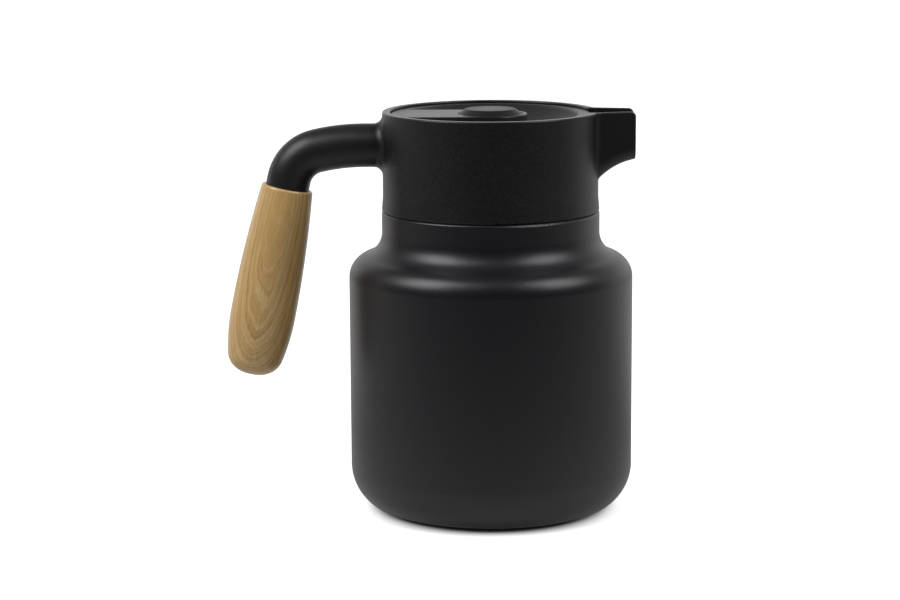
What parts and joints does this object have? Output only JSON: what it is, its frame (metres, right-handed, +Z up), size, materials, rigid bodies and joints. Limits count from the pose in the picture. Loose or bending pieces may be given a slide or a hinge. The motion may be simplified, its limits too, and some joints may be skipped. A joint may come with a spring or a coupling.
{
  "type": "vacuum jug",
  "caption": "Double-walled vacuum jug with rounded shoulder, collar with open spout, looped arm with wooden grip, and a turn-out stopper with a push-button valve.",
  "frame": {"origin": "on the floor at the axis of the body, the middle of the pad that the jug stands on", "axes": "+Z up along the body's axis, +X towards the spout, the handle towards -X"},
  "size_m": [0.1874, 0.13, 0.183],
  "materials": {
    "black_powder_coat": "matte fine powder coat on steel",
    "grey_silicone": "matte silicone",
    "solder": "dull solder bead",
    "brushed_steel": "satin brushed stainless steel",
    "getter_metal": "dull grey metal pill",
    "black_moulded_plastic": "matte spark-textured moulding",
    "clear_silicone": "translucent white silicone",
    "tang_steel": "plain steel rod",
    "beech_wood": "oiled light wood with lengthwise grain",
    "black_plug_plastic": "smooth satin moulding",
    "foam": "light insulating foam",
    "seal_rubber": "matte rubber",
    "black_cap_plastic": "fine matte texture",
    "spring_steel": "bright spring wire",
    "satin_button_plastic": "smooth satin"
  },
  "bodies": {
    "jug": {"outer_shell": "black_powder_coat", "base_cup": "black_powder_coat", "base_pad": "grey_silicone", "vacuum_seal": "solder", "inner_flask": "brushed_steel", "getter": "getter_metal", "collar": "black_moulded_plastic", "collar_gasket": "clear_silicone", "handle_tang": "tang_steel", "grip": "beech_wood"},
    "stopper_seal": {"stopper_gasket": "clear_silicone"},
    "stopper": {"stopper_body": "black_plug_plastic", "stopper_insulation": "foam", "plug_cover": "black_plug_plastic", "stopper_deck": "black_plug_plastic", "stem_o_ring": "seal_rubber", "stopper_cap": "black_cap_plastic", "button_spring": "spring_steel"},
    "button": {"push_button": "satin_button_plastic", "valve_stem": "black_plug_plastic", "valve_disc": "black_plug_plastic", "valve_seal": "clear_silicone"}
  },
  "joints": [
    {"name": "stopper_lift", "type": "slide", "parent": "jug", "child": "stopper_seal", "axis": [0, 0, 1], "range_m": [0, 0.09]},
    {"name": "stopper_turn", "type": "hinge", "parent": "stopper_seal", "child": "stopper", "pos_m": [0, 0, 0.1558], "axis": [0, 0, 1], "range_deg": [0, 60]},
    {"name": "button_press", "type": "slide", "parent": "stopper", "child": "button", "axis": [0, 0, -1], "range_m": [0, 0.005], "stiffness_N_per_m": 800, "springref_m": -0.004, "deforming": ["button_spring"]}
  ]
}
